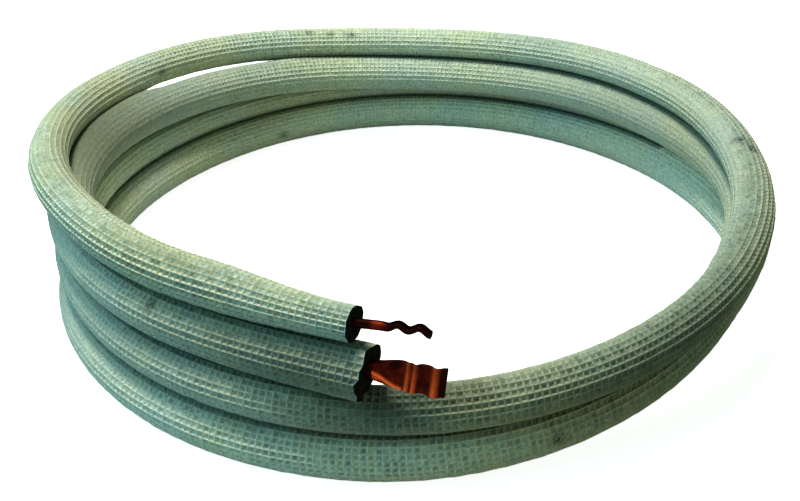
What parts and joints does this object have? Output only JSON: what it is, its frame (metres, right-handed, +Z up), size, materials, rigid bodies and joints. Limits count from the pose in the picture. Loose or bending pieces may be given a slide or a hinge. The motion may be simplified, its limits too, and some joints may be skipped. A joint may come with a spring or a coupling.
{
  "type": "copper tube coil",
  "caption": "Coil of insulated twin copper tube: a thin and a thick copper tube in pale embossed foam sleeves, with pinched bare ends.",
  "frame": {"origin": "centre of the coil's box, at the floor it lies on", "axes": "+Z up along the coil's axis, -Y towards the side where the bare copper ends show"},
  "size_m": [0.6692, 0.6474, 0.1402],
  "materials": {
    "copper": "tarnished bare copper",
    "foam": "embossed pale foam"
  },
  "bodies": {
    "root": {"thin_tube": "copper", "thin_sleeve": "foam", "thick_tube": "copper", "thick_sleeve": "foam"}
  },
  "joints": []
}
